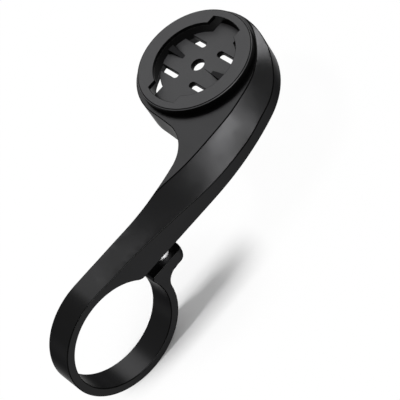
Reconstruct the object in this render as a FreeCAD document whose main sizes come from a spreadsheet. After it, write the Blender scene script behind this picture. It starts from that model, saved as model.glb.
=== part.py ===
import FreeCAD
import Part
import Sketcher

import math
import os

# A bike computer mount. A clamp ring for the handlebar carries an arm that reaches forward
# and swings to one side, and ends in a round head with a moulded twist lock. The ring, the
# lug, the arm and the head are one machined piece. The lock is a separate moulding pressed
# into the head's bore, and one countersunk screw closes the ring.
# Millimetres and degrees. The origin is the centre of the handlebar's bore: +X along the
# bar, +Y forward along the arm, +Z up.


# Sizes. Each row is one cell of the sheet: its name and its value.
SIZES = (
    # handlebar clamp
    ("bore_radius", 15.9),
    ("ring_wall", 2.47),
    ("arm_width", 8.12),
    ("plate_thickness", 9.18),
    ("gap_height", 3.0),
    ("lug_thickness", 3.55),
    ("lug_end_wall", 0.95),
    ("lug_root_fillet", 4.4),
    ("lug_nose_rounding", 2.7),
    ("lug_corner_rounding", 2.3),
    ("upper_jaw_rounding", 3.0),
    ("lower_jaw_rounding", 1.0),
    # head: its place, and its wall round the bore
    ("head_side", 25.2),
    ("head_reach", 68.6),
    ("head_wall", 1.65),
    # side walls of the arm: the radius of each bend, how far the outer wall has come in
    # where the head's bend begins, how far the first inner bend turns, and how far each
    # wall's touching point leans from the one straight ahead of or behind the head's axis
    ("outer_bend", 86.9),
    ("outer_inset", 3.12),
    ("outer_touch_lean", 2.2),
    ("inner_bend", 87.0),
    ("inner_bend_turn", 14.6),
    ("inner_corner_bend", 12.25),
    ("inner_head_bend", 149.4),
    ("inner_touch_lean", 1.7),
    # long chamfer over the arm and round the head
    ("chamfer_rise", 0.6),
    ("chamfer_overcut", 1.0),
    # clamp screw, countersunk, with a hexagon socket
    ("screw_radius", 2.0),
    ("screw_engagement", 6.1),
    ("screw_head_radius", 3.75),
    ("screw_head_land", 0.2),
    ("screw_tip_chamfer", 0.5),
    ("screw_sink", 0.65),
    ("screw_ring_gap", 0.13),
    ("screw_hole_clearance", 0.25),
    ("socket_across_flats", 2.5),
    ("socket_depth", 1.6),
    ("countersink_clearance", 0.05),
    ("thread_clearance", 0.02),
    ("tapped_hole_spare", 0.5),
    # twist lock, from its mouth outwards
    ("mouth_radius", 12.2),
    ("lip_overhang", 2.3),
    ("lip_thickness", 1.22),
    ("notch_width", 10.9),
    ("skirt_wall", 2.15),
    ("skirt_depth", 5.0),
    ("skirt_lead", 0.5),
    ("insert_fit", 0.05),
    ("flange_overlap", 0.4),
    ("flange_height", 2.35),
    ("flange_chamfer", 0.4),
    # twist lock, its floor with two spring tongues
    ("floor_depth", 2.72),
    ("floor_thickness", 1.8),
    ("floor_gap", 0.9),
    ("bridge_width", 8.7),
    ("centre_hole_radius", 1.9),
    ("slot_offset", 5.75),
    ("slot_width", 1.8),
    ("slot_start", 2.7),
    ("ramp_start", 5.8),
    ("ramp_start_width", 1.0),
    ("ramp_end_width", 2.2),
    ("ramp_end_gap", 0.1),
    ("ramp_height", 1.25),
)

# Stations of the long chamfer, from the ring to the far side of the head. Along the arm a
# station stands at a share of the head's reach and its cut runs straight across; round the
# head it stands at an angle about the head's axis and its cut runs to that axis. The run is
# how far the cut reaches in from the outer wall to where it has come up above the top by
# the chamfer's rise, and the drop is how far below the top it lies at the wall.
ARM_STATIONS = (
    # share, run, drop
    (0.044, 22.0, -0.05),
    (0.175, 19.0, 0.50),
    (0.306, 12.9, 1.32),
    (0.437, 11.1, 2.55),
    (0.554, 9.5, 3.75),
    (0.671, 8.4, 4.62),
    (0.787, 7.65, 5.10),
    (0.897, 6.55, 5.38),
)
HEAD_STATIONS = (
    # angle, run, drop
    (0.0, 6.0, 5.15),
    (13.0, 5.15, 4.93),
    (26.0, 4.45, 3.90),
    (42.0, 3.65, 2.70),
    (58.0, 2.7, 1.45),
    (74.0, 1.8, 0.45),
    (90.0, 1.0, -0.40),
)

# How close an edge's middle has to lie to the place where the edge is looked for
PICK_DISTANCE = 0.05

UP = FreeCAD.Vector(0, 0, 1)


class Size:
    """A size that carries both its number and its formula in the sheet."""

    def __init__(self, number, formula):
        self.number = number
        self.formula = formula

    def joined(self, sign, other, number):
        return Size(number, "(%s %s %s)" % (self.formula, sign, other.formula))

    def __add__(self, other):
        other = as_size(other)
        return self.joined("+", other, self.number + other.number)

    def __sub__(self, other):
        other = as_size(other)
        return self.joined("-", other, self.number - other.number)

    def __mul__(self, other):
        other = as_size(other)
        return self.joined("*", other, self.number * other.number)

    def __truediv__(self, other):
        other = as_size(other)
        return self.joined("/", other, self.number / other.number)

    def __neg__(self):
        return as_size(0) - self


def as_size(value):
    """A size as it is, or a plain number as a size."""
    if isinstance(value, Size):
        return value
    return Size(float(value), repr(float(value)))


def cosine(angle):
    """The cosine of a size in degrees."""
    return Size(math.cos(math.radians(angle.number)), "cos(%s * 1 deg)" % angle.formula)


doc = FreeCAD.newDocument("computer_mount")
sheet = doc.addObject("Spreadsheet::Sheet", "Sizes")
size = {}


def add_cell(name, value):
    """Writes one size into the sheet and keeps it by its name."""
    row = len(size) + 1
    sheet.set("A%d" % row, name)
    sheet.set("B%d" % row, str(value))
    sheet.setAlias("B%d" % row, name)
    size[name] = Size(value, "Sizes." + name)


for cell_name, cell_value in SIZES:
    add_cell(cell_name, cell_value)
for place, (share, run, drop) in enumerate(ARM_STATIONS, start=1):
    add_cell("arm_station%d_share" % place, share)
    add_cell("arm_station%d_run" % place, run)
    add_cell("arm_station%d_drop" % place, drop)
for place, (angle, run, drop) in enumerate(HEAD_STATIONS, start=1):
    add_cell("head_station%d_angle" % place, angle)
    add_cell("head_station%d_run" % place, run)
    add_cell("head_station%d_drop" % place, drop)
doc.recompute()

# Sizes that follow from those of the sheet
nothing = as_size(0)
half_width = size["arm_width"] / 2
ring_radius = size["bore_radius"] + size["ring_wall"]
top = ring_radius
underside = top - size["plate_thickness"]
lug_top = underside - size["gap_height"]
lug_bottom = lug_top - size["lug_thickness"]
gap_middle = lug_top + size["gap_height"] / 2

screw_hole_radius = size["screw_radius"] + size["screw_hole_clearance"]
countersink_radius = size["screw_head_radius"] + size["countersink_clearance"]
screw_start = lug_bottom + size["screw_sink"]
screw_length = underside + size["screw_engagement"] - screw_start
screw_reach = ring_radius + size["screw_ring_gap"] + countersink_radius
lug_reach = screw_reach + size["screw_head_radius"] + size["lug_end_wall"]

recess_radius = size["mouth_radius"] + size["lip_overhang"]
skirt_radius = recess_radius + size["skirt_wall"]
head_bore_radius = skirt_radius + size["insert_fit"]
head_radius = head_bore_radius + size["head_wall"]
flange_radius = head_bore_radius + size["flange_overlap"]
lip_underside = size["flange_height"] - size["lip_thickness"]
floor_top = size["flange_height"] - size["floor_depth"]
floor_bottom = floor_top - size["floor_thickness"]
floor_radius = size["mouth_radius"] - size["floor_gap"]

# Where the walls touch the head's circle, as angles round the head's axis, and the outer
# bend that ends there and holds the whole circle inside
outer_touch = size["outer_touch_lean"] + 90
inner_touch = -size["inner_touch_lean"] + 270
outer_head_bend = (
    half_width - size["outer_inset"] + size["head_side"] - head_radius * cosine(outer_touch)
) / (-cosine(outer_touch) + 1)


# Bodies and sketches

def new_body(name):
    body = doc.addObject("PartDesign::Body", name)
    body.Label = name
    return body


def origin_plane(body, role):
    for feature in body.Origin.OriginFeatures:
        if feature.Role == role:
            return feature
    raise ValueError(role)


def new_sketch(body, name, role, offset=nothing):
    """A sketch on one of the body's own origin planes, lifted off it by an offset."""
    sketch = body.newObject("Sketcher::SketchObject", name)
    sketch.AttachmentSupport = [(origin_plane(body, role), "")]
    sketch.MapMode = "FlatFace"
    sketch.AttachmentOffset = FreeCAD.Placement(UP * offset.number, FreeCAD.Rotation())
    sketch.setExpression("AttachmentOffset.Base.z", offset.formula)
    return sketch


def fix(sketch, kind, *geometry, to):
    """A sketch constraint that is bound to a size."""
    index = sketch.addConstraint(Sketcher.Constraint(kind, *geometry, to.number))
    sketch.setExpression("Constraints[%d]" % index, to.formula)


def fix_angle(sketch, geometry, to):
    """Binds a line's direction, or the angle that an arc spans, to a size in degrees."""
    angle = math.radians(to.number)
    index = sketch.addConstraint(Sketcher.Constraint("Angle", geometry, angle))
    sketch.setExpression("Constraints[%d]" % index, to.formula + " * 1 deg")


def place_point(sketch, geometry, end, across, up):
    """Puts one point of a line or an arc across and up from the sketch's origin."""
    fix(sketch, "DistanceX", -1, 1, geometry, end, to=across)
    fix(sketch, "DistanceY", -1, 1, geometry, end, to=up)


def join(sketch, one, one_end, other, other_end):
    sketch.addConstraint(Sketcher.Constraint("Coincident", one, one_end, other, other_end))


def join_smoothly(sketch, one, one_end, other, other_end):
    sketch.addConstraint(Sketcher.Constraint("Tangent", one, one_end, other, other_end))


def add_line(sketch, start, end, construction=False):
    return sketch.addGeometry(Part.LineSegment(start, end), construction)


def add_arc(sketch, centre, radius, first, last):
    """An arc that runs left round its centre from its first angle to its last, in radians."""
    return sketch.addGeometry(Part.ArcOfCircle(Part.Circle(centre, UP, radius), first, last), False)


def add_circle(sketch, across, up, radius):
    centre = FreeCAD.Vector(across.number, up.number, 0)
    circle = sketch.addGeometry(Part.Circle(centre, UP, radius.number), False)
    fix(sketch, "Radius", circle, to=radius)
    place_point(sketch, circle, 3, across, up)


def add_polygon(sketch, corners):
    """A closed outline of straight lines, every corner placed by sizes."""
    points = [FreeCAD.Vector(across.number, up.number, 0) for across, up in corners]
    lines = [add_line(sketch, start, end) for start, end in zip(points, points[1:] + points[:1])]
    for line, following in zip(lines, lines[1:] + lines[:1]):
        join(sketch, line, 2, following, 1)
    for line, (across, up) in zip(lines, corners):
        place_point(sketch, line, 1, across, up)
    return lines


def add_rectangle(sketch, left, low, right, high):
    add_polygon(sketch, ((left, low), (right, low), (right, high), (left, high)))


def direction(angle):
    """The unit vector at an angle in a sketch's plane, in radians."""
    return FreeCAD.Vector(math.cos(angle), math.sin(angle), 0)


def add_corner_waste(sketch, across, up, radius, side, level):
    """What is cut away between a square corner and its rounding.

    The side and the level, each 1 or -1, say where the corner lies from the round's centre.
    """
    corner = FreeCAD.Vector(across.number, up.number, 0)
    centre = corner - FreeCAD.Vector(side, level, 0) * radius.number
    middle = math.atan2(level, side)
    first = middle - math.pi / 4
    last = middle + math.pi / 4
    rounding = add_arc(sketch, centre, radius.number, first, last)
    out = add_line(sketch, centre + direction(last) * radius.number, corner)
    back = add_line(sketch, corner, centre + direction(first) * radius.number)
    join_smoothly(sketch, rounding, 2, out, 1)
    join(sketch, out, 2, back, 1)
    join_smoothly(sketch, back, 2, rounding, 1)
    fix(sketch, "Radius", rounding, to=radius)
    place_point(sketch, out, 2, across, up)
    place_point(sketch, rounding, 3, across - radius * side, up - radius * level)


# Features

def extrude(kind, body, name, sketch, length, symmetric, reverse):
    feature = body.newObject(kind, name)
    feature.Profile = sketch
    feature.Length = length.number
    feature.setExpression("Length", length.formula)
    feature.Reversed = reverse
    if symmetric:
        feature.SideType = "Symmetric"
    doc.recompute()


def pad(body, name, sketch, length, symmetric=False, reverse=False):
    extrude("PartDesign::Pad", body, name, sketch, length, symmetric, reverse)


def check_cut(body, name, before):
    """Makes sure that a cut removed something."""
    if not body.Shape.Volume < before:
        raise RuntimeError(name + " cuts nothing")


def pocket(body, name, sketch, length, symmetric=False, reverse=False):
    before = body.Shape.Volume
    extrude("PartDesign::Pocket", body, name, sketch, length, symmetric, reverse)
    check_cut(body, name, before)


def groove(body, name, sketch, axis_line):
    """Turns a sketch about one of its own lines and cuts it out of the body."""
    before = body.Shape.Volume
    feature = body.newObject("PartDesign::Groove", name)
    feature.Profile = sketch
    feature.ReferenceAxis = (sketch, ["Edge%d" % (axis_line + 1)])
    doc.recompute()
    check_cut(body, name, before)


def revolve(body, name, sketch):
    """Turns a sketch about its own upright axis."""
    feature = body.newObject("PartDesign::Revolution", name)
    feature.Profile = sketch
    feature.ReferenceAxis = (sketch, ["V_Axis"])
    doc.recompute()


def edges_along_bar(shape, reach, height):
    """The names of the straight edges that run along the bar at a reach and a height."""
    wanted = FreeCAD.Vector(0, reach, height)
    names = []
    for index, edge in enumerate(shape.Edges, start=1):
        middle = edge.valueAt((edge.FirstParameter + edge.LastParameter) / 2)
        middle.x = 0
        level = edge.BoundBox.YLength + edge.BoundBox.ZLength < PICK_DISTANCE
        if level and middle.distanceToPoint(wanted) < PICK_DISTANCE:
            names.append("Edge%d" % index)
    if not names:
        raise RuntimeError("no edge found")
    return names


def fillet_ring_edge(body, name, circle_radius, height, radius):
    """Rounds the edge along the bar where a flat face at a height meets a round one."""
    reach = math.sqrt(circle_radius.number ** 2 - height.number ** 2)
    base = body.Tip
    feature = body.newObject("PartDesign::Fillet", name)
    feature.Base = (base, edges_along_bar(base.Shape, reach, height.number))
    feature.Radius = radius.number
    feature.setExpression("Radius", radius.formula)
    doc.recompute()


# The arm's plan

def head_centre():
    return FreeCAD.Vector(-size["head_side"].number, size["head_reach"].number, 0)


def outer_wall():
    """The two arcs of the outer wall, as centre, radius, first and last angle.

    The first leaves the straight side of the ring, and the second ends on the head.
    """
    touch = math.radians(outer_touch.number)
    bend = size["outer_bend"].number
    last_bend = outer_head_bend.number
    last = head_centre() - direction(touch) * (last_bend - head_radius.number)
    first = FreeCAD.Vector(half_width.number - bend, 0, 0)
    across = last.x - first.x
    along = math.sqrt((bend - last_bend) ** 2 - across ** 2)
    first.y = last.y - along
    change = math.atan2(along, across)
    return [(first, bend, 0, change), (last, last_bend, change, touch)]


def inner_wall():
    """The three arcs of the inner wall: a gentle swing, the tight corner, and the run to the head."""
    touch = math.radians(inner_touch.number) - math.pi
    turn = math.radians(size["inner_bend_turn"].number)
    bend = size["inner_bend"].number
    corner_bend = size["inner_corner_bend"].number
    last_bend = size["inner_head_bend"].number
    last = head_centre() - direction(touch) * (last_bend + head_radius.number)
    first = FreeCAD.Vector(-half_width.number - bend, 0, 0)
    corner = first + direction(turn) * (bend - corner_bend)
    across = corner.x - last.x
    along = math.sqrt((last_bend - corner_bend) ** 2 - across ** 2)
    slide = FreeCAD.Vector(0, last.y + along - corner.y, 0)
    change = math.atan2(along, across)
    return [
        (first + slide, bend, 0, turn),
        (corner + slide, corner_bend, turn, change),
        (last, last_bend, change, touch),
    ]


def draw_plan(sketch):
    """The plan outline: straight sides by the ring, tangent bends, and the head's arc."""
    half = half_width.number
    outer_arcs = outer_wall()
    inner_arcs = inner_wall()
    low_right = FreeCAD.Vector(half, 0, 0)
    low_left = FreeCAD.Vector(-half, 0, 0)
    base = add_line(sketch, low_left, low_right)
    right = add_line(sketch, low_right, FreeCAD.Vector(half, outer_arcs[0][0].y, 0))
    left = add_line(sketch, FreeCAD.Vector(-half, inner_arcs[0][0].y, 0), low_left)
    outer = [add_arc(sketch, *arc) for arc in outer_arcs]
    inner = [add_arc(sketch, *arc) for arc in inner_arcs]
    first = math.radians(outer_touch.number)
    last = math.radians(inner_touch.number)
    rim = add_arc(sketch, head_centre(), head_radius.number, first, last)

    join(sketch, base, 2, right, 1)
    join(sketch, left, 2, base, 1)
    join_smoothly(sketch, right, 2, outer[0], 1)
    join_smoothly(sketch, outer[0], 2, outer[1], 1)
    join_smoothly(sketch, outer[1], 2, rim, 1)
    join_smoothly(sketch, left, 1, inner[0], 1)
    join_smoothly(sketch, inner[0], 2, inner[1], 1)
    join_smoothly(sketch, inner[1], 2, inner[2], 1)
    join_smoothly(sketch, inner[2], 2, rim, 2)
    sketch.addConstraint(Sketcher.Constraint("Vertical", right))
    sketch.addConstraint(Sketcher.Constraint("Vertical", left))
    place_point(sketch, base, 1, -half_width, nothing)
    place_point(sketch, base, 2, half_width, nothing)
    place_point(sketch, rim, 3, -size["head_side"], size["head_reach"])
    bends = (
        (outer[0], size["outer_bend"]),
        (outer[1], outer_head_bend),
        (inner[0], size["inner_bend"]),
        (inner[1], size["inner_corner_bend"]),
        (inner[2], size["inner_head_bend"]),
        (rim, head_radius),
    )
    for bend, radius in bends:
        fix(sketch, "Radius", bend, to=radius)
    fix_angle(sketch, inner[0], size["inner_bend_turn"])
    for end, angle, touch in ((1, first, outer_touch), (2, last, inner_touch)):
        rim_point = head_centre() + direction(angle) * head_radius.number
        spoke = add_line(sketch, head_centre(), rim_point, construction=True)
        join(sketch, spoke, 1, rim, 3)
        join(sketch, spoke, 2, rim, end)
        fix_angle(sketch, spoke, touch)


def outer_edge():
    """The outer wall's line in plan, from the ring to the head."""
    arcs = outer_wall()
    start = FreeCAD.Vector(half_width.number, 0, 0)
    edges = [Part.makeLine(start, FreeCAD.Vector(half_width.number, arcs[0][0].y, 0))]
    for centre, radius, first, last in arcs:
        edges.append(Part.ArcOfCircle(Part.Circle(centre, UP, radius), first, last).toShape())
    return Part.Compound(edges)


def chamfer_section(walls, inside, outward, name):
    """One section of the chamfer's cutter, upright, from a point inside towards the wall."""
    run = size[name + "_run"].number
    drop = size[name + "_drop"].number
    rise = size["chamfer_rise"].number
    overcut = size["chamfer_overcut"].number
    ray = Part.makeLine(inside, inside + outward * size["head_reach"].number)
    nearest_points = ray.distToShape(walls)[1]
    wall = nearest_points[0][0]
    slope = (rise + drop) / run
    corners = (
        (-run, rise),
        (overcut, -drop - slope * overcut),
        (overcut, rise + overcut),
        (-run, rise + overcut),
    )
    points = [wall + outward * across + UP * (top.number + up) for across, up in corners]
    return Part.makePolygon(points + points[:1])


def chamfer_cutter():
    """The solid that cuts the long chamfer: a loft through all its sections."""
    walls = outer_edge()
    head = head_centre()
    sections = []
    for place in range(1, len(ARM_STATIONS) + 1):
        name = "arm_station%d" % place
        inside = FreeCAD.Vector(head.x, head.y * size[name + "_share"].number, 0)
        sections.append(chamfer_section(walls, inside, direction(0), name))
    for place in range(1, len(HEAD_STATIONS) + 1):
        name = "head_station%d" % place
        angle = math.radians(size[name + "_angle"].number)
        sections.append(chamfer_section(walls, head, direction(angle), name))
    return Part.makeLoft(sections, True, False)


# The arm: clamp ring, lug, plate and head are machined from one piece

def build_blank():
    """The whole arm before its long chamfer is cut."""
    body = new_body("arm_blank")
    width = size["arm_width"]

    ring = new_sketch(body, "ring_outline", "YZ_Plane")
    add_circle(ring, nothing, nothing, ring_radius)
    pad(body, "ring", ring, width, symmetric=True)

    plan = new_sketch(body, "plan_outline", "XY_Plane", offset=underside)
    draw_plan(plan)
    pad(body, "plate", plan, size["plate_thickness"])

    lug = new_sketch(body, "lug_outline", "YZ_Plane")
    add_rectangle(lug, nothing, lug_bottom, lug_reach, lug_top)
    pad(body, "lug", lug, width, symmetric=True)
    fillet_ring_edge(body, "lug_root", ring_radius, lug_bottom, size["lug_root_fillet"])

    bore = new_sketch(body, "bore_outline", "YZ_Plane")
    add_circle(bore, nothing, nothing, size["bore_radius"])
    pocket(body, "bore", bore, width, symmetric=True)

    gap = new_sketch(body, "gap_outline", "YZ_Plane")
    add_rectangle(gap, nothing, lug_top, lug_reach + size["lug_end_wall"], underside)
    pocket(body, "gap", gap, width, symmetric=True)
    fillet_ring_edge(
        body, "upper_jaw", size["bore_radius"], underside, size["upper_jaw_rounding"])
    fillet_ring_edge(
        body, "lower_jaw", size["bore_radius"], lug_top, size["lower_jaw_rounding"])

    nose = new_sketch(body, "lug_nose_waste", "YZ_Plane")
    add_corner_waste(nose, lug_reach, lug_bottom, size["lug_nose_rounding"], 1, -1)
    pocket(body, "lug_nose", nose, width, symmetric=True)

    corners = new_sketch(body, "lug_corner_waste", "XY_Plane", offset=lug_top)
    for side in (-1, 1):
        add_corner_waste(
            corners, half_width * side, lug_reach, size["lug_corner_rounding"], side, 1)
    pocket(body, "lug_corners", corners, size["lug_thickness"])

    head_bore = new_sketch(body, "head_bore_outline", "XY_Plane", offset=top)
    add_circle(head_bore, -size["head_side"], size["head_reach"], head_bore_radius)
    pocket(body, "head_bore", head_bore, size["plate_thickness"])

    cut_lug_hole(body)
    cut_tapped_hole(body)
    return body


def cut_lug_hole(body):
    """The screw's hole through the lug: way in for the head, countersink, clearance hole."""
    entry = screw_start - size["lug_root_fillet"]
    seat = screw_start + size["screw_head_land"]
    corners = (
        (screw_reach, entry),
        (screw_reach + countersink_radius, entry),
        (screw_reach + countersink_radius, seat),
        (screw_reach + screw_hole_radius, seat + countersink_radius - screw_hole_radius),
        (screw_reach + screw_hole_radius, gap_middle),
        (screw_reach, gap_middle),
    )
    outline = new_sketch(body, "lug_hole_outline", "YZ_Plane")
    lines = add_polygon(outline, corners)
    groove(body, "lug_hole", outline, lines[-1])


def cut_tapped_hole(body):
    """The blind hole over the gap, with the drill's cone at its end."""
    radius = size["screw_radius"] + size["thread_clearance"]
    end = screw_start + screw_length + size["tapped_hole_spare"]
    corners = (
        (screw_reach, gap_middle),
        (screw_reach + radius, gap_middle),
        (screw_reach + radius, end),
        (screw_reach, end + radius / 2),
    )
    outline = new_sketch(body, "tapped_hole_outline", "YZ_Plane")
    lines = add_polygon(outline, corners)
    groove(body, "tapped_hole", outline, lines[-1])


def build_arm():
    """Cuts the long chamfer from the blank."""
    cutter = doc.addObject("Part::Feature", "chamfer_cutter")
    cutter.Shape = chamfer_cutter()
    arm = doc.addObject("Part::Cut", "arm")
    arm.Label = "arm"
    arm.Base = build_blank()
    arm.Tool = cutter
    doc.recompute()
    return arm


# The twist lock: a moulded ring pressed into the head, in its own frame on the head's axis,
# with its origin at the head's top

def build_insert():
    body = new_body("twist_lock_insert")
    height = size["flange_height"]
    chamfer = size["flange_chamfer"]
    lead = size["skirt_lead"]
    depth = size["skirt_depth"]

    corners = (
        (flange_radius, nothing),
        (flange_radius, height - chamfer),
        (flange_radius - chamfer, height),
        (size["mouth_radius"], height),
        (size["mouth_radius"], lip_underside),
        (recess_radius, lip_underside),
        (recess_radius, -depth),
        (skirt_radius - lead, -depth),
        (skirt_radius, lead * 2 - depth),
        (skirt_radius, nothing),
    )
    section = new_sketch(body, "ring_section", "XZ_Plane")
    add_polygon(section, corners)
    revolve(body, "ring", section)

    disc = new_sketch(body, "floor_outline", "XY_Plane", offset=floor_bottom)
    add_circle(disc, nothing, nothing, floor_radius)
    pad(body, "floor", disc, size["floor_thickness"])

    half_bridge = size["bridge_width"] / 2
    bridge_end = recess_radius + size["skirt_wall"] / 2
    bridges = new_sketch(body, "bridge_outline", "XY_Plane", offset=floor_bottom)
    add_rectangle(bridges, -half_bridge, -bridge_end, half_bridge, bridge_end)
    pad(body, "bridges", bridges, size["floor_thickness"])

    notches = new_sketch(body, "notch_outline", "XY_Plane", offset=height)
    for side in (-1, 1):
        draw_notch(notches, side)
    pocket(body, "notches", notches, size["lip_thickness"])

    hole = new_sketch(body, "centre_hole_outline", "XY_Plane", offset=floor_top)
    add_circle(hole, nothing, nothing, size["centre_hole_radius"])
    pocket(body, "centre_hole", hole, size["floor_thickness"])

    slots = new_sketch(body, "slot_outline", "XY_Plane", offset=floor_top)
    for side in (-1, 1):
        draw_slot(slots, side, 1)
        draw_slot(slots, side, -1)
    pocket(body, "slots", slots, size["floor_thickness"])

    add_ramp(body, "ramp_right", -90)
    add_ramp(body, "ramp_left", 90)

    body.setExpression("Placement.Base.x", (-size["head_side"]).formula)
    body.setExpression("Placement.Base.y", size["head_reach"].formula)
    body.setExpression("Placement.Base.z", top.formula)
    doc.recompute()
    return body


def draw_notch(sketch, side):
    """One notch through the lip, where the computer's tab drops in before the turn.

    The side, 1 or -1, is the side of the mouth, ahead or behind. The notch's outer wall is
    the recess's own, and its outline closes in the open mouth.
    """
    half = size["notch_width"] / 2
    inner = (size["mouth_radius"] - size["lip_overhang"]) * side
    radius = recess_radius.number
    lean = math.asin(half.number / radius)
    middle = side * math.pi / 2
    start = direction(middle - lean) * radius
    end = direction(middle + lean) * radius
    low_end = FreeCAD.Vector(end.x, inner.number, 0)
    low_start = FreeCAD.Vector(start.x, inner.number, 0)
    wall = add_arc(sketch, FreeCAD.Vector(), radius, middle - lean, middle + lean)
    down = add_line(sketch, end, low_end)
    across = add_line(sketch, low_end, low_start)
    back = add_line(sketch, low_start, start)
    join(sketch, wall, 2, down, 1)
    join(sketch, down, 2, across, 1)
    join(sketch, across, 2, back, 1)
    join(sketch, back, 2, wall, 1)
    join(sketch, wall, 3, -1, 1)
    sketch.addConstraint(Sketcher.Constraint("Vertical", down))
    sketch.addConstraint(Sketcher.Constraint("Vertical", back))
    fix(sketch, "Radius", wall, to=recess_radius)
    place_point(sketch, across, 1, -half * side, inner)
    place_point(sketch, across, 2, half * side, inner)


def draw_slot(sketch, side, end):
    """One slot beside a spring tongue, with a round inner end, open at the floor's edge.

    The side and the end, each 1 or -1, are the signs of its place ahead and across.
    """
    half = size["slot_width"] / 2
    middle = size["slot_offset"] * side
    inner = (size["slot_start"] + half) * end
    outer = floor_radius * end
    centre = FreeCAD.Vector(inner.number, middle.number, 0)
    first = end * math.pi / 2
    start = centre + direction(first) * half.number
    finish = centre - direction(first) * half.number
    outer_finish = FreeCAD.Vector(outer.number, finish.y, 0)
    outer_start = FreeCAD.Vector(outer.number, start.y, 0)
    round_end = add_arc(sketch, centre, half.number, first, first + math.pi)
    out = add_line(sketch, finish, outer_finish)
    across = add_line(sketch, outer_finish, outer_start)
    back = add_line(sketch, outer_start, start)
    join_smoothly(sketch, round_end, 2, out, 1)
    join(sketch, out, 2, across, 1)
    join(sketch, across, 2, back, 1)
    join_smoothly(sketch, back, 2, round_end, 1)
    sketch.addConstraint(Sketcher.Constraint("Horizontal", out))
    fix(sketch, "DistanceX", -1, 1, round_end, 3, to=inner)
    place_point(sketch, across, 1, outer, middle - half * end)
    place_point(sketch, across, 2, outer, middle + half * end)


def add_ramp(body, name, turn):
    """A detent ramp on a spring tongue, wider and higher towards the tongue's free end."""
    sink = size["floor_thickness"] / 4
    bounds = {
        "Ymin": size["ramp_start"],
        "Ymax": floor_radius - size["ramp_end_gap"],
        "Xmin": -size["ramp_start_width"] / 2,
        "Xmax": size["ramp_start_width"] / 2,
        "X2min": -size["ramp_end_width"] / 2,
        "X2max": size["ramp_end_width"] / 2,
        "Zmin": -sink,
        "Zmax": nothing,
        "Z2min": -sink,
        "Z2max": size["ramp_height"],
    }
    ramp = body.newObject("PartDesign::AdditiveWedge", name)
    ramp.AttachmentSupport = [(origin_plane(body, "XY_Plane"), "")]
    ramp.MapMode = "FlatFace"
    ramp.AttachmentOffset = FreeCAD.Placement(
        UP * floor_top.number, FreeCAD.Rotation(UP, turn))
    ramp.setExpression("AttachmentOffset.Base.z", floor_top.formula)
    for bound, value in bounds.items():
        setattr(ramp, bound, value.number)
        ramp.setExpression(bound, value.formula)
    doc.recompute()


# The clamp screw, in its own frame on its axis, with its origin on the head's flat face

def build_screw():
    body = new_body("clamp_screw")
    radius = size["screw_radius"]
    head = size["screw_head_radius"]
    land = size["screw_head_land"]
    tip = size["screw_tip_chamfer"]
    corners = (
        (nothing, nothing),
        (head, nothing),
        (head, land),
        (radius, land + head - radius),
        (radius, screw_length - tip),
        (radius - tip, screw_length),
        (nothing, screw_length),
    )
    section = new_sketch(body, "screw_section", "XZ_Plane")
    add_polygon(section, corners)
    revolve(body, "turned_form", section)

    half_flats = size["socket_across_flats"] / 2
    corner = half_flats / cosine(as_size(30))
    corners = (
        (corner, nothing),
        (corner / 2, half_flats),
        (-corner / 2, half_flats),
        (-corner, nothing),
        (-corner / 2, -half_flats),
        (corner / 2, -half_flats),
    )
    socket = new_sketch(body, "socket_outline", "XY_Plane")
    add_polygon(socket, corners)
    pocket(body, "socket", socket, size["socket_depth"], reverse=True)

    body.setExpression("Placement.Base.y", screw_reach.formula)
    body.setExpression("Placement.Base.z", screw_start.formula)
    doc.recompute()
    return body


def check(pieces):
    """Stops if any feature failed, or if a finished piece isn't one valid solid."""
    for thing in doc.Objects:
        for fault in ("Invalid", "Error"):
            if fault in thing.State:
                raise RuntimeError("%s is %s" % (thing.Name, fault))
    for piece in pieces:
        shape = piece.Shape
        if shape.isNull() or not shape.isValid() or len(shape.Solids) != 1:
            raise RuntimeError(piece.Label + " is not one valid solid")


pieces = [build_arm(), build_insert(), build_screw()]
doc.recompute()
check(pieces)
os.makedirs("parts", exist_ok=True)
for piece in pieces:
    piece.Shape.exportStep("parts/%s.step" % piece.Label)
    box = piece.Shape.optimalBoundingBox(True)
    print("%s %.1f mm3, %.2f x %.2f x %.2f mm" % (
        piece.Label, piece.Shape.Volume, box.XLength, box.YLength, box.ZLength))
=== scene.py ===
# %% [markdown]
# A bike computer mount in satin black. A clamp ring holds it on the handlebar, an arm swings
# forward to a round head, and a moulded twist lock in the head takes the computer's foot.
# The solids come from a CAD model that is already full size, so this script begins by
# loading them as a frame. Every piece added here is placed by that frame.

import math

import bmesh
import bpy
from mathutils import Matrix, Vector


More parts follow.
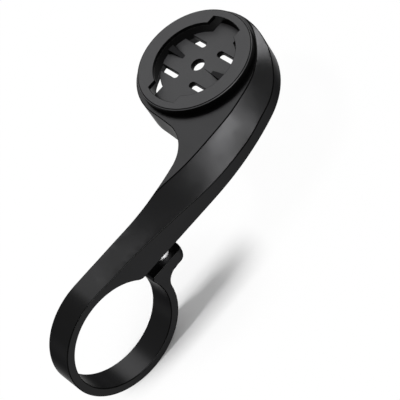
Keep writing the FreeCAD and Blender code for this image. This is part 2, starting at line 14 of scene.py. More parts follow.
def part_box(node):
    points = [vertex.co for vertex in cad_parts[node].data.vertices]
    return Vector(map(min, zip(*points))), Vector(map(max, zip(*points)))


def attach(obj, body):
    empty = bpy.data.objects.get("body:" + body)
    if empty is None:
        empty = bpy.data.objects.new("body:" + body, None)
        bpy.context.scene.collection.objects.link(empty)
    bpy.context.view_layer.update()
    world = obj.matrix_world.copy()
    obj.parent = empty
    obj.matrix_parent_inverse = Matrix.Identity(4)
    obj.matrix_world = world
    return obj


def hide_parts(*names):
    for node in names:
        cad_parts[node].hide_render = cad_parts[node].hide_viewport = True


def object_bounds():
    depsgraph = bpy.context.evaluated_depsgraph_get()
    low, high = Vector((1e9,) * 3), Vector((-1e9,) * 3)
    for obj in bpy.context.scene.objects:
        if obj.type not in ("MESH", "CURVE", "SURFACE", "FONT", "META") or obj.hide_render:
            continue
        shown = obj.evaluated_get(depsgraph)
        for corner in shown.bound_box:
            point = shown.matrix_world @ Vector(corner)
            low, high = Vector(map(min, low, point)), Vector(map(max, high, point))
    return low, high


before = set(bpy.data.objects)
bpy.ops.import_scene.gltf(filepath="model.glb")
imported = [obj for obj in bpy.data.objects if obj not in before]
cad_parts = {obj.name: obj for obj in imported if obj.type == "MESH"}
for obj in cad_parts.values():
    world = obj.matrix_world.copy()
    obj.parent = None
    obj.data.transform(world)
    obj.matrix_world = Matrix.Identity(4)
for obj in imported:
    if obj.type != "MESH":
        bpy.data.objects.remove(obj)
cad_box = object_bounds()
MM = 0.001
print("nodes", sorted(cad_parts))
print("size in mm", [round((high - low) / MM, 2) for low, high in zip(*cad_box)])

# %% [markdown]
# The lens and its place were worked out from the photograph: a long lens half a metre away,
# near enough that the ring is drawn a little larger than the far head. A camera in Blender
# can be placed by angles or by the three directions of its own axes. The directions are used
# here, because the fit to the ring's two circles and the head's gives them directly.

# %% Camera
SENSOR_MM = 36.0
LENS_MM = 172.8
CAMERA_RIGHT = Vector((0.63556, 0.65791, -0.40400))
CAMERA_UP = Vector((-0.41313, 0.73187, 0.54193))
CAMERA_BACK = Vector((0.65222, -0.17752, 0.73695))
CAMERA_PLACE = Vector((0.32996, -0.05032, 0.38159))


def make_camera():
    """A long lens, looking down on the mount from the bar's end."""
    lens = bpy.data.cameras.new("camera")
    lens.sensor_width = SENSOR_MM
    lens.lens = LENS_MM
    lens.clip_start = 0.01
    camera = bpy.data.objects.new("camera", lens)
    bpy.context.scene.collection.objects.link(camera)
    turn = Matrix((CAMERA_RIGHT, CAMERA_UP, CAMERA_BACK)).transposed().to_4x4()
    camera.matrix_world = Matrix.Translation(CAMERA_PLACE) @ turn
    bpy.context.scene.camera = camera
    return camera


camera = make_camera()
print("camera distance mm", round(CAMERA_PLACE.length / MM))

# %% [markdown]
# Colours are written as the hex values that a paint chart or an image editor gives. Those
# are stored for a screen, and a shader wants the amount of light, so one function turns the
# one into the other. A second small function adds a shader node with its settings and its
# links in one line, which keeps each material short enough to read.

# %% Colours and nodes
def linear(hex_colour):
    """The linear colour of an sRGB hex value."""
    channels = []
    for start in (1, 3, 5):
        value = int(hex_colour[start:start + 2], 16) / 255
        channels.append(value / 12.92 if value <= 0.04045 else ((value + 0.055) / 1.055) ** 2.4)
    return (*channels, 1.0)


def add_node(tree, kind, links=None, values=None, **settings):
    """One node with its settings, the values of its sockets, and the links that feed it."""
    node = tree.nodes.new(kind)
    for name, value in settings.items():
        setattr(node, name, value)
    for name, value in (values or {}).items():
        node.inputs[name].default_value = value
    for name, source in (links or {}).items():
        tree.links.new(source, node.inputs[name])
    return node


def start_material(name):
    """A new material with its shader, ready for nodes."""
    material = bpy.data.materials.new(name)
    material.use_nodes = True
    return material, material.node_tree, material.node_tree.nodes["Principled BSDF"]


def per_metre(size_mm):
    """The scale of a noise texture whose lumps are a size in millimetres."""
    return 1 / (size_mm * MM)


print("linear of #808080", round(linear("#808080")[0], 3))

# %% [markdown]
# The arm is taken to be aluminium, bead-blasted and anodised black, because it shows broad
# satin bands with no sharp picture in them. A picture can't prove the process. A fine noise
# in the roughness and the bump softens the light, and a slow one makes the black a little
# warmer or cooler from place to place.
# A black plastic shader was the other choice. Head on it reflects only a few hundredths of
# the light, so its bands are weak. A dark metal shader shows them at every angle.

# %% Black anodised aluminium
BLAST_DENT_MM = 0.25
DYE_PATCH_MM = 14.0


def make_anodised():
    """Satin black metal for the arm's faces."""
    material, tree, shader = start_material("bead_blasted_black_anodised_aluminium")
    # satin and nearly neutral, and the tint holds back the reflection at a flat angle
    shader.inputs["Metallic"].default_value = 1.0
    shader.inputs["Specular Tint"].default_value = (0.42, 0.42, 0.42, 1)
    place = add_node(tree, "ShaderNodeTexCoord").outputs["Object"]
    # the black varies slowly from place to place
    patches = add_node(tree, "ShaderNodeTexNoise", {"Vector": place},
                       {"Scale": per_metre(DYE_PATCH_MM), "Detail": 3.0})
    black_tone = add_node(tree, "ShaderNodeMix", {"Factor": patches.outputs["Fac"]}, data_type="RGBA")
    black_tone.inputs["A"].default_value = linear("#262626")
    black_tone.inputs["B"].default_value = linear("#2b2b2c")
    tree.links.new(black_tone.outputs["Result"], shader.inputs["Base Color"])
    # the dents are drawn coarse enough to show, since their real size isn't known
    dents = add_node(tree, "ShaderNodeTexNoise", {"Vector": place},
                     {"Scale": per_metre(BLAST_DENT_MM), "Detail": 2.0})
    satin = add_node(tree, "ShaderNodeMapRange", {"Value": dents.outputs["Fac"]},
                     {"To Min": 0.27, "To Max": 0.34})
    tree.links.new(satin.outputs["Result"], shader.inputs["Roughness"])
    bump = add_node(tree, "ShaderNodeBump", {"Height": dents.outputs["Fac"]},
                    {"Strength": 0.12, "Distance": 0.02 * MM})
    tree.links.new(bump.outputs["Normal"], shader.inputs["Normal"])
    return material


anodised = make_anodised()
print("made", anodised.name)

# %% [markdown]
# In the photograph many of the arm's edges read as thin dark lines. It doesn't tell why, so
# this finish only copies the look and stands for no known process. It is darker than the
# faces and a little glossier, and it is kept for the rounded edges.

# %% Dark edge
def make_dark_edge():
    """A darker and glossier black that still flashes where it faces a light."""
    material, tree, shader = start_material("dark_anodised_edge")
    shader.inputs["Metallic"].default_value = 1.0
    shader.inputs["Specular Tint"].default_value = (0.4, 0.4, 0.4, 1)
    place = add_node(tree, "ShaderNodeTexCoord").outputs["Object"]
    patches = add_node(tree, "ShaderNodeTexNoise", {"Vector": place},
                       {"Scale": per_metre(DYE_PATCH_MM), "Detail": 2.0})
    # the rounded edges get a darker black than the faces, which draws them as thin dark lines
    black_tone = add_node(tree, "ShaderNodeMix", {"Factor": patches.outputs["Fac"]}, data_type="RGBA")
    black_tone.inputs["A"].default_value = linear("#0d0d0d")
    black_tone.inputs["B"].default_value = linear("#131313")
    tree.links.new(black_tone.outputs["Result"], shader.inputs["Base Color"])
    gloss = add_node(tree, "ShaderNodeMapRange", {"Value": patches.outputs["Fac"]},
                     {"To Min": 0.22, "To Max": 0.28})
    tree.links.new(gloss.outputs["Result"], shader.inputs["Roughness"])
    return material


dark_edge = make_dark_edge()
print("made", dark_edge.name)

# %% [markdown]
# The twist lock is taken to be a black nylon moulding. It looks duller and a shade greyer
# than the arm, and the light on it falls off evenly with no bands. Which plastic it is can't
# be read from a picture, so nylon is a guess.
# A plastic shader with a dark colour does this. A fine noise is the grain in the colour and
# in the bump, and a second, larger noise makes the roughness a little wavy. Painted shade
# darkens the colour to ink black in the corners.

# %% Moulded black nylon
MOULD_GRAIN_MM = 0.3
MOULD_WAVE_MM = 6.0
CORNER_SHADE_MM = 1.5


def make_nylon():
    """Dull black plastic with a fine grain, and painted shade in its corners."""
    material, tree, shader = start_material("moulded_black_nylon")
    # dull and even: a weak, wide reflection over a nearly black body
    shader.inputs["Specular IOR Level"].default_value = 0.13
    place = add_node(tree, "ShaderNodeTexCoord").outputs["Object"]
    grain = add_node(tree, "ShaderNodeTexNoise", {"Vector": place},
                     {"Scale": per_metre(MOULD_GRAIN_MM), "Detail": 3.0})
    wave = add_node(tree, "ShaderNodeTexNoise", {"Vector": place},
                    {"Scale": per_metre(MOULD_WAVE_MM), "Detail": 1.0})
    # the grain shows as a faint lighter fleck in the black
    fleck = add_node(tree, "ShaderNodeMix", {"Factor": grain.outputs["Fac"]}, data_type="RGBA")
    fleck.inputs["A"].default_value = linear("#303031")
    fleck.inputs["B"].default_value = linear("#3e3e3f")
    # painted shade: an occlusion node darkens the colour to ink black in the corners
    open_sky = add_node(tree, "ShaderNodeAmbientOcclusion",
                        values={"Distance": CORNER_SHADE_MM * MM}, samples=8)
    deeper = add_node(tree, "ShaderNodeMath", {0: open_sky.outputs["AO"]}, {1: 1.8},
                      operation="POWER")
    shade = add_node(tree, "ShaderNodeMix", {"Factor": deeper.outputs[0]}, data_type="RGBA")
    shade.inputs["A"].default_value = linear("#030303")
    tree.links.new(fleck.outputs["Result"], shade.inputs["B"])
    tree.links.new(shade.outputs["Result"], shader.inputs["Base Color"])
    dull = add_node(tree, "ShaderNodeMapRange", {"Value": wave.outputs["Fac"]},
                    {"To Min": 0.40, "To Max": 0.48})
    tree.links.new(dull.outputs["Result"], shader.inputs["Roughness"])
    # the grain is drawn coarse enough to show, since its real size isn't known
    bump = add_node(tree, "ShaderNodeBump", {"Height": grain.outputs["Fac"]},
                    {"Strength": 0.15, "Distance": 0.02 * MM})
    tree.links.new(bump.outputs["Normal"], shader.inputs["Normal"])
    return material


nylon = make_nylon()
print("made", nylon.name)

# %% [markdown]
# In the photograph the lock's upright walls look almost ink black: the rim's side, the lip,
# the slots and the flanks of the ramps. The ramps' tops are darker than the floor. Smooth
# places on the mould would look like that, but this is a guess. That is shade, and it is
# painted here: two darker copies of the nylon carry it, and how steep a face is decides
# which of them it gets.

# %% Painted shade on the lock's walls and ramps
def make_shaded_nylon(name, darkest, lightest):
    """A darker copy of the black plastic, between two colours and with hardly any sheen, for
    painted shade.
    """
    material, tree, shader = start_material(name)
    shader.inputs["Specular IOR Level"].default_value = 0.02
    place = add_node(tree, "ShaderNodeTexCoord").outputs["Object"]
    wave = add_node(tree, "ShaderNodeTexNoise", {"Vector": place},
                    {"Scale": per_metre(MOULD_WAVE_MM), "Detail": 1.0})
    shade_tone = add_node(tree, "ShaderNodeMix", {"Factor": wave.outputs["Fac"]}, data_type="RGBA")
    shade_tone.inputs["A"].default_value = linear(darkest)
    shade_tone.inputs["B"].default_value = linear(lightest)
    tree.links.new(shade_tone.outputs["Result"], shader.inputs["Base Color"])
    sheen = add_node(tree, "ShaderNodeMapRange", {"Value": wave.outputs["Fac"]},
                     {"To Min": 0.36, "To Max": 0.44})
    tree.links.new(sheen.outputs["Result"], shader.inputs["Roughness"])
    return material


def give_by_slope(piece, material, least, most):
    """Gives a material, here a painted shade, to every face whose normal's upward share lies
    between two values.
    """
    piece.data.materials.append(material)
    slot = len(piece.data.materials) - 1
    chosen = [face for face in piece.data.polygons if least <= abs(face.normal.z) < most]
    for face in chosen:
        face.material_index = slot
    print(piece.name, material.name, "faces", len(chosen))


# painted shade: ink black for the lock's upright walls, and a dark grey for the ramps' sloped tops
shaded_wall_nylon = make_shaded_nylon("painted_shade_nylon_wall", "#020202", "#070707")
shaded_ramp_nylon = make_shaded_nylon("painted_shade_nylon_ramp", "#161617", "#1e1e1f")

# %% [markdown]
# Only a bright crescent of the clamp screw shows, so stainless steel is a guess from its
# brightness.
# Steel is a metal shader with a pale colour. It is drawn rough, because a polished one came
# out dark in a test. The camera looks down on the upright shank, so a mirror there would show
# what lies under it, and that is the black lug.
# Fine rings round the axis come from a noise that is stretched flat, so that it hardly
# changes round the screw.

# %% Bright stainless steel
ROLLING_MARK_MM = 0.15
ROLLING_STRETCH = 0.05


def make_steel():
    """Pale rough metal, a little streaky round the screw's axis."""
    material, tree, shader = start_material("rolled_stainless_steel")
    shader.inputs["Base Color"].default_value = linear("#f4f4f5")
    shader.inputs["Metallic"].default_value = 1.0
    place = add_node(tree, "ShaderNodeTexCoord").outputs["Object"]
    flat = add_node(tree, "ShaderNodeMapping", {"Vector": place},
                    {"Scale": (ROLLING_STRETCH, ROLLING_STRETCH, 1)})
    marks = add_node(tree, "ShaderNodeTexNoise", {"Vector": flat.outputs["Vector"]},
                     {"Scale": per_metre(ROLLING_MARK_MM), "Detail": 2.0})
    polish = add_node(tree, "ShaderNodeMapRange", {"Value": marks.outputs["Fac"]},
                      {"To Min": 0.62, "To Max": 0.70})
    tree.links.new(polish.outputs["Result"], shader.inputs["Roughness"])
    return material


steel = make_steel()
print("made", steel.name)

# %% [markdown]
# A CAD solid has edges with no width at all, and no real edge is like that: a milled edge is
# broken with a file or a cutter, and a moulded one is as round as the mould's own corner.
# That narrow strip is what shows as a thin line, bright on most things and dark on the arm.
# The solid's mesh is loose triangles, so a copy is merged first and its flat faces are made
# whole again. Then the sharp edges are marked and a Bevel rounds only those. The Weighted
# Normal modifier lets the large faces decide the shading, which keeps them flat to the eye.

# %% Merge a solid and break its edges
MERGE_MM = 0.002
SAME_PLANE = math.radians(0.2)
SLIVER_MM = 0.31
SLIVER_BEND = math.radians(10)
SHARP = math.radians(28)
CREASE = math.radians(15)
BROAD_FACE_MM2 = 20.0
LEVEL = 0.99999


def close_slivers(form):
    """Welds the loose end of each tiny shallow edge to the end that holds the outline."""
    held = {vert for edge in form.edges if edge.calc_face_angle(0) > SHARP for vert in edge.verts}
    welds = {}
    for edge in form.edges:
        loose = [vert for vert in edge.verts if vert not in held]
        tiny = edge.calc_length() < SLIVER_MM * MM and edge.calc_face_angle(0) < SLIVER_BEND
        if tiny and loose and not any(vert in welds or vert in welds.values()
                                      for vert in edge.verts):
            welds[loose[0]] = edge.other_vert(loose[0])
    bmesh.ops.weld_verts(form, targetmap=welds)
    print("slivers closed", len(welds))


def merged_copy(node, name, material):
    """A whole mesh made from a copy of a CAD node's loose triangles."""
    form = bmesh.new()
    form.from_mesh(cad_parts[node].data)
    bmesh.ops.remove_doubles(form, verts=form.verts, dist=MERGE_MM * MM)
    bmesh.ops.dissolve_limit(form, angle_limit=SAME_PLANE, verts=form.verts, edges=form.edges)
    close_slivers(form)
    mesh = bpy.data.meshes.new(name)
    form.to_mesh(mesh)
    form.free()
    mesh.materials.clear()
    mesh.materials.append(material)
    piece = bpy.data.objects.new(name, mesh)
    bpy.context.scene.collection.objects.link(piece)
    return piece


def is_broad_top(face):
    """Whether a face is level, looks up and is more than a sliver."""
    return face.normal.z > LEVEL and face.calc_area() > BROAD_FACE_MM2 * MM * MM


def mark_sharp_edges(mesh):
    """Marks the edges to be rounded: the sharp ones, and the shallow creases of a broad top."""
    form = bmesh.new()
    form.from_mesh(mesh)
    weight = form.edges.layers.float.new("bevel_weight_edge")
    marked = 0
    for edge in form.edges:
        bend = edge.calc_face_angle(0)
        shallow = bend > CREASE and any(is_broad_top(face) for face in edge.link_faces)
        if bend > SHARP or shallow:
            edge[weight] = 1.0
            marked += 1
    form.to_mesh(mesh)
    form.free()
    return marked


def break_edges(piece, width_mm, edge_finish):
    """Rounds the marked edges in their own finish, and lets the large faces shade it."""
    marked = mark_sharp_edges(piece.data)
    for polygon in piece.data.polygons:
        polygon.use_smooth = True
    bevel = piece.modifiers.new("edge_break", "BEVEL")
    bevel.limit_method = "WEIGHT"
    bevel.width = width_mm * MM
    bevel.segments = 2
    bevel.use_clamp_overlap = False
    bevel.material = edge_finish
    shading = piece.modifiers.new("flat_faces", "WEIGHTED_NORMAL")
    shading.mode = "FACE_AREA"
    shading.weight = 100
    print(piece.name, "edges rounded", marked, "faces", len(piece.data.polygons))


# %% [markdown]
# The arm is one piece, since no seam shows. Its ring, its plate and the long chamfer that
# twists from the ring to the head are all in the CAD solid, so the solid's own mesh is used.
# Its edges are broken by about a quarter of a millimetre, which is a judged width.

# %% The machined arm
ARM_EDGE_MM = 0.24

arm = merged_copy("arm", "machined_arm", anodised)
arm.data.materials.append(dark_edge)
break_edges(arm, ARM_EDGE_MM, edge_finish=1)
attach(arm, "root")
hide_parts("arm")

# %% [markdown]
# The twist lock is one moulding: a flange, a lip with two notches, and under it a floor that
# is slotted into two springy tongues with a ramp on each. Its corners get a narrower rounding
# than the arm's, which is a judged width too.

# %% The moulded twist lock
LOCK_EDGE_MM = 0.14

lock = merged_copy("twist_lock_insert", "moulded_twist_lock", nylon)
# painted shade: the upright faces and the sloped ramp tops get the darker copies of the nylon
give_by_slope(lock, shaded_wall_nylon, least=0.0, most=0.5)
give_by_slope(lock, shaded_ramp_nylon, least=0.9, most=0.99)
# the rounded edges take the ink-black wall copy, so they show as dark lines of painted shade
break_edges(lock, LOCK_EDGE_MM, edge_finish=1)
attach(lock, "root")
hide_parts("twist_lock_insert")

# %% [markdown]
# The screw comes from below through the lug and crosses the clamp's gap, where it shows. It
# is built as rings of points stacked along its axis: the hexagon socket with its chamfer and
# cone-shaped bottom, the flat head with a rounded rim, the cone, the shank, and the tip. A
# ring is a circle or a hexagon, and every ring has the same number of points, so that
# neighbours join with plain four-sided faces.
# In the photograph the crescent in the gap has a smooth edge, so the shank is plain there,
# as in the CAD solid, and narrows to the thread's core where it enters the arm.

# %% The screw's blank
RING_POINTS = 48
SCREW_HEAD_MM = 3.75
SCREW_SHANK_MM = 2.0
SCREW_CORE_MM = 1.62
SHANK_END_MM = 5.8
SOCKET_FLATS_MM = 2.5
SOCKET_DEPTH_MM = 1.6
SOCKET_CHAMFER_MM = 0.12
SOCKET_CONE_MM = 0.5
HEAD_LAND_MM = 0.2
TIP_HEIGHT_MM = 0.5
TIP_NARROWING_MM = 0.4
# the head's rounded rim: how high it passes, and how far in from the head's radius
RIM_STEPS_MM = ((0.0, 0.15), (0.05, 0.04), (0.15, 0.0), (0.25, 0.06))
SCREW_LOW, SCREW_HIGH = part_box("clamp_screw")
SCREW_AXIS = Vector(((SCREW_LOW[0] + SCREW_HIGH[0]) / 2, (SCREW_LOW[1] + SCREW_HIGH[1]) / 2, 0))
SCREW_LENGTH_MM = (SCREW_HIGH[2] - SCREW_LOW[2]) / MM


def ring_of_points(height_mm, radius_mm, hexagon=False):
    """One ring round the screw's axis. A hexagon's radius is half its width across flats."""
    points = []
    for step in range(RING_POINTS):
        angle = 2 * math.pi * step / RING_POINTS
        reach = radius_mm
        if hexagon:
            reach /= math.cos(angle % (math.pi / 3) - math.pi / 6)
        points.append((reach * math.cos(angle), reach * math.sin(angle), height_mm))
    return points


def stack_rings(name, rings, first_tip, last_tip):
    """A closed mesh from rings of points, with a point on the axis at each end."""
    form = bmesh.new()

    def add_point(point):
        return form.verts.new(SCREW_AXIS + Vector((0, 0, SCREW_LOW[2])) + Vector(point) * MM)

    layers = [[add_point(point) for point in ring] for ring in rings]
    for layer, following in zip(layers, layers[1:]):
        for step in range(RING_POINTS):
            after = (step + 1) % RING_POINTS
            form.faces.new((layer[step], layer[after], following[after], following[step]))
    for layer, tip in ((layers[0], first_tip), (layers[-1], last_tip)):
        middle = add_point((0, 0, tip))
        for step in range(RING_POINTS):
            form.faces.new((layer[step], layer[(step + 1) % RING_POINTS], middle))
    bmesh.ops.recalc_face_normals(form, faces=form.faces)
    mesh = bpy.data.meshes.new(name)
    form.to_mesh(mesh)
    form.free()
    return mesh


half_flats = SOCKET_FLATS_MM / 2
cone_end = HEAD_LAND_MM + SCREW_HEAD_MM - SCREW_SHANK_MM
screw_rings = [
    ring_of_points(SOCKET_DEPTH_MM, half_flats, hexagon=True),
    ring_of_points(SOCKET_CHAMFER_MM, half_flats, hexagon=True),
    ring_of_points(0.0, half_flats + SOCKET_CHAMFER_MM, hexagon=True),
    *(ring_of_points(height, SCREW_HEAD_MM - inward) for height, inward in RIM_STEPS_MM),
    ring_of_points(cone_end, SCREW_SHANK_MM),
    ring_of_points(SHANK_END_MM, SCREW_SHANK_MM),
    ring_of_points(SHANK_END_MM + SCREW_SHANK_MM - SCREW_CORE_MM, SCREW_CORE_MM),
    ring_of_points(SCREW_LENGTH_MM - TIP_HEIGHT_MM, SCREW_CORE_MM),
    ring_of_points(SCREW_LENGTH_MM, SCREW_CORE_MM - TIP_NARROWING_MM),
]
screw_mesh = stack_rings("clamp_screw_blank", screw_rings,
                         SOCKET_DEPTH_MM + SOCKET_CONE_MM, SCREW_LENGTH_MM)
print("screw blank faces", len(screw_mesh.polygons))

# %% [markdown]
# A thread follows a rule: one small ridge runs round the shank and rises by the pitch at
# each turn. It could be drawn turn by turn, but Geometry Nodes say the rule itself. A spiral
# curve carries the ridge's profile from end to end, and the pitch and the depth stay as
# inputs to change. The ridge ends square, and both ends are hidden in the finished mount.

# %% The rolled thread, with Geometry Nodes
THREAD_PITCH_MM = 0.7
THREAD_CREST_MM = 1.98
THREAD_START_MM = 6.0
THREAD_END_MM = 11.3
# the ridge's profile, as shares of the thread's depth and of its pitch
FOOT_SINK = 0.15
FOOT_HALF = 0.44
CREST_HALF = 0.07


def make_thread_tree():
    """A node tree that runs one ridge round an axis as a thread."""
    tree = bpy.data.node_groups.new("rolled_thread", "GeometryNodeTree")
    face = tree.interface
    face.new_socket("Geometry", in_out="OUTPUT", socket_type="NodeSocketGeometry")
    for name in ("Pitch", "Turns", "Core Radius", "Depth", "Start Height"):
        face.new_socket(name, in_out="INPUT", socket_type="NodeSocketFloat")
    face.new_socket("Axis", in_out="INPUT", socket_type="NodeSocketVector")
    face.new_socket("Finish", in_out="INPUT", socket_type="NodeSocketMaterial")
    sizes = add_node(tree, "NodeGroupInput").outputs

    rise = add_node(tree, "ShaderNodeMath", {0: sizes["Pitch"], 1: sizes["Turns"]},
                    operation="MULTIPLY")
    spiral = add_node(tree, "GeometryNodeCurveSpiral",
                      {"Rotations": sizes["Turns"], "Start Radius": sizes["Core Radius"],
                       "End Radius": sizes["Core Radius"], "Height": rise.outputs[0]},
                      {"Resolution": 32})
    upright = add_node(tree, "GeometryNodeSetCurveNormal", {"Curve": spiral.outputs["Curve"]},
                       mode="Z_UP")

    # the ridge's profile: a wide foot sunk in the core, and a narrow crest. On this spiral a
    # profile's X points in toward the axis, so the way out is negative
    profile = add_node(tree, "GeometryNodeCurvePrimitiveQuadrilateral", mode="POINTS")
    corners = (("Point 1", FOOT_SINK, FOOT_HALF), ("Point 2", -1.0, CREST_HALF),
               ("Point 3", -1.0, -CREST_HALF), ("Point 4", FOOT_SINK, -FOOT_HALF))
    for socket, inward, across in corners:
        reach = add_node(tree, "ShaderNodeMath", {0: sizes["Depth"]}, {1: inward},
                         operation="MULTIPLY")
        width = add_node(tree, "ShaderNodeMath", {0: sizes["Pitch"]}, {1: across},
                         operation="MULTIPLY")
        corner = add_node(tree, "ShaderNodeCombineXYZ",
                          {"X": reach.outputs[0], "Y": width.outputs[0]})
        tree.links.new(corner.outputs[0], profile.inputs[socket])
    ridge = add_node(tree, "GeometryNodeCurveToMesh",
                     {"Curve": upright.outputs["Curve"], "Profile Curve": profile.outputs["Curve"]},
                     {"Fill Caps": True})

    lift = add_node(tree, "ShaderNodeCombineXYZ", {"Z": sizes["Start Height"]})
    place = add_node(tree, "ShaderNodeVectorMath", {0: sizes["Axis"], 1: lift.outputs[0]},
                     operation="ADD")
    moved = add_node(tree, "GeometryNodeTransform",
                     {"Geometry": ridge.outputs["Mesh"], "Translation": place.outputs[0]})
    real = add_node(tree, "GeometryNodeRealizeInstances", {"Geometry": moved.outputs[0]})
    finish = add_node(tree, "GeometryNodeSetMaterial",
                      {"Geometry": real.outputs[0], "Material": sizes["Finish"]})
    add_node(tree, "NodeGroupOutput", {"Geometry": finish.outputs[0]})
    return tree


def run_nodes(name, tree, values):
    """The plain mesh that a node tree makes from its inputs."""
    carrier = bpy.data.objects.new(name, bpy.data.meshes.new(name))
    bpy.context.scene.collection.objects.link(carrier)
    modifier = carrier.modifiers.new(name, "NODES")
    modifier.node_group = tree
    for item in tree.interface.items_tree:
        if item.in_out == "INPUT":
            modifier[item.identifier] = values[item.name]
    seen = carrier.evaluated_get(bpy.context.evaluated_depsgraph_get())
    mesh = bpy.data.meshes.new_from_object(seen)
    carrier.modifiers.clear()
    bpy.data.objects.remove(carrier)
    return mesh


thread_mesh = run_nodes("rolled_thread", make_thread_tree(), {
    "Pitch": THREAD_PITCH_MM * MM,
    "Turns": (THREAD_END_MM - THREAD_START_MM) / THREAD_PITCH_MM,
    "Core Radius": SCREW_CORE_MM * MM,
    "Depth": (THREAD_CREST_MM - SCREW_CORE_MM) * MM,
    "Start Height": SCREW_LOW[2] + THREAD_START_MM * MM,
    "Axis": SCREW_AXIS,
    "Finish": steel,
})
thread_box = [max((vertex.co - SCREW_AXIS).xy.length for vertex in thread_mesh.vertices) / MM,
              min(vertex.co.z for vertex in thread_mesh.vertices) / MM,
              max(vertex.co.z for vertex in thread_mesh.vertices) / MM]
print("thread radius, low and high in mm", [round(value, 2) for value in thread_box])

# %% [markdown]
# The ridge and the blank become one piece. They are two closed shells that overlap, which
# is all that a render needs.

# %% The clamp screw
SCREW_SHARP = math.radians(25)


def join_meshes(name, meshes, material):
    """One piece from several meshes, all with outward normals and one finish."""
    form = bmesh.new()
    for mesh in meshes:
        form.from_mesh(mesh)
    bmesh.ops.recalc_face_normals(form, faces=form.faces)
    whole = bpy.data.meshes.new(name)
    form.to_mesh(whole)
    form.free()
    for polygon in whole.polygons:
        polygon.material_index = 0
    whole.materials.append(material)
    piece = bpy.data.objects.new(name, whole)
    bpy.context.scene.collection.objects.link(piece)
    return piece


screw = join_meshes("threaded_clamp_screw", (screw_mesh, thread_mesh), steel)
screw.data.set_sharp_from_angle(angle=SCREW_SHARP)
for polygon in screw.data.polygons:
    polygon.use_smooth = True
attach(screw, "root")
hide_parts("clamp_screw")
print("screw faces", len(screw.data.polygons))

# %% [markdown]
# The mount stands on white paper, with its ring's foot on it. The photograph keeps its shadow
# near the ring and lets the rest run out into pure white.
# Lit paper alone isn't so even a white, so part of what the camera sees of it is a plain
# white light instead. That part is small by the foot, where the shadow is kept, and grows
# with the distance. Gloss and glass see the same white, and the paper sends only its own
# plain light onto the mount.

# %% White paper floor
PAPER_HALF_M = 3.0
PAPER_DROP_MM = 0.03
FADE_CENTRE = Vector((0, 18, 0)) * MM
FADE_START_MM = 20.0
FADE_END_MM = 36.0


def make_paper():
    """Matt paper that turns into plain white away from the ring's foot."""
    material, tree, shader = start_material("matt_white_paper")
    tree.nodes.remove(shader)
    output = tree.nodes["Material Output"]
    place = add_node(tree, "ShaderNodeTexCoord").outputs["Object"]
    distance = add_node(tree, "ShaderNodeVectorMath", {0: place}, {1: FADE_CENTRE},
                        operation="DISTANCE")
    share = add_node(tree, "ShaderNodeMapRange", {"Value": distance.outputs["Value"]},
                     {"From Min": FADE_START_MM * MM, "From Max": FADE_END_MM * MM,
                      "To Min": 0.03, "To Max": 0.97}, interpolation_type="SMOOTHSTEP")
    rays = add_node(tree, "ShaderNodeLightPath").outputs
    mirror = add_node(tree, "ShaderNodeMath",
                      {0: rays["Is Glossy Ray"], 1: rays["Is Transmission Ray"]},
                      operation="MAXIMUM")
    seen = add_node(tree, "ShaderNodeMath", {0: rays["Is Camera Ray"], 1: mirror.outputs[0]},
                    operation="MAXIMUM")
    part = add_node(tree, "ShaderNodeMath", {0: share.outputs["Result"], 1: seen.outputs[0]},
                    operation="MULTIPLY")
    paper = add_node(tree, "ShaderNodeBsdfDiffuse", values={"Color": linear("#f6f6f6")})
    white = add_node(tree, "ShaderNodeEmission")
    blend = add_node(tree, "ShaderNodeMixShader", {0: part.outputs[0], 1: paper.outputs[0],
                                                   2: white.outputs[0]})
    tree.links.new(blend.outputs[0], output.inputs["Surface"])
    return material


def make_floor():
    """A flat sheet of paper just under the mount."""
    height = cad_box[0][2] - PAPER_DROP_MM * MM
    corners = [(x * PAPER_HALF_M, y * PAPER_HALF_M, height)
               for x, y in ((-1, -1), (1, -1), (1, 1), (-1, 1))]
    mesh = bpy.data.meshes.new("paper")
    mesh.from_pydata(corners, [], [(0, 1, 2, 3)])
    mesh.materials.append(make_paper())
    paper = bpy.data.objects.new("paper", mesh)
    bpy.context.scene.collection.objects.link(paper)
    return paper


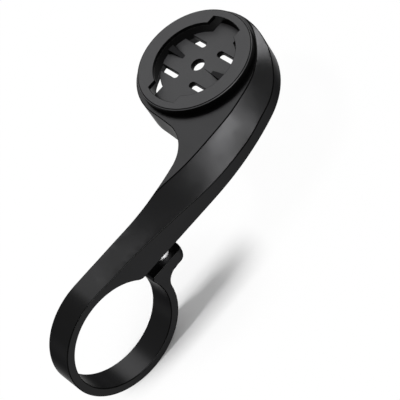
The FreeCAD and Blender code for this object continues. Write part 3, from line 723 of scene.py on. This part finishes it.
make_floor()
print("floor at mm", round(cad_box[0][2] / MM, 2))

# %% [markdown]
# Black satin metal shows very little of its own colour. What the eye reads on it is the
# reflection of the studio, so the light is built as a few soft boxes, each with a task. The
# key is high and makes the shadow on the paper. Four more are seen only in the gloss: by the
# camera, beyond the head, on the left and low at the bar's end. They give the satin bands,
# and the dim world between them leaves the dark ones.
# The key and the world together light the paper to about white.

# %% Soft boxes
TARGET = Vector((-10, 35, 5)) * MM
BOX_DISTANCE = 0.8
WORLD_LEVEL = 0.5


def make_softbox(name, toward, width, height, level, on_surfaces=True, in_gloss=True):
    """A flat lamp whose face is a level times white, in a direction from the mount."""
    lamp = bpy.data.lights.new(name, "AREA")
    lamp.shape = "RECTANGLE"
    lamp.size = width
    lamp.size_y = height
    lamp.energy = level * math.pi * width * height
    box = bpy.data.objects.new(name, lamp)
    bpy.context.scene.collection.objects.link(box)
    out = Vector(toward).normalized()
    turn = out.to_track_quat("Z", "Y").to_matrix().to_4x4()
    box.matrix_world = Matrix.Translation(TARGET + out * BOX_DISTANCE) @ turn
    box.visible_diffuse = on_surfaces
    box.visible_glossy = in_gloss
    return box


def light_world():
    """A dim even white from all round."""
    world = bpy.data.worlds.new("studio")
    world.use_nodes = True
    background = world.node_tree.nodes["Background"]
    background.inputs["Color"].default_value = linear("#ffffff")
    background.inputs["Strength"].default_value = WORLD_LEVEL
    bpy.context.scene.world = world


light_world()
make_softbox("key_box", toward=(-0.02, -0.30, 1.0), width=0.19, height=0.09, level=84,
             in_gloss=False)
make_softbox("camera_box", toward=(0.67, 0.16, 0.72), width=0.44, height=0.40, level=14,
             on_surfaces=False)
make_softbox("beyond_box", toward=(-0.18, 0.90, 0.42), width=0.36, height=0.24, level=15,
             on_surfaces=False)
make_softbox("left_box", toward=(-0.70, 0.36, 0.62), width=0.56, height=0.50, level=2.9,
             on_surfaces=False)
make_softbox("bar_end_box", toward=(0.99, -0.10, 0.09), width=0.36, height=0.12, level=34.0,
             on_surfaces=False)
bpy.context.scene.view_settings.view_transform = "Standard"
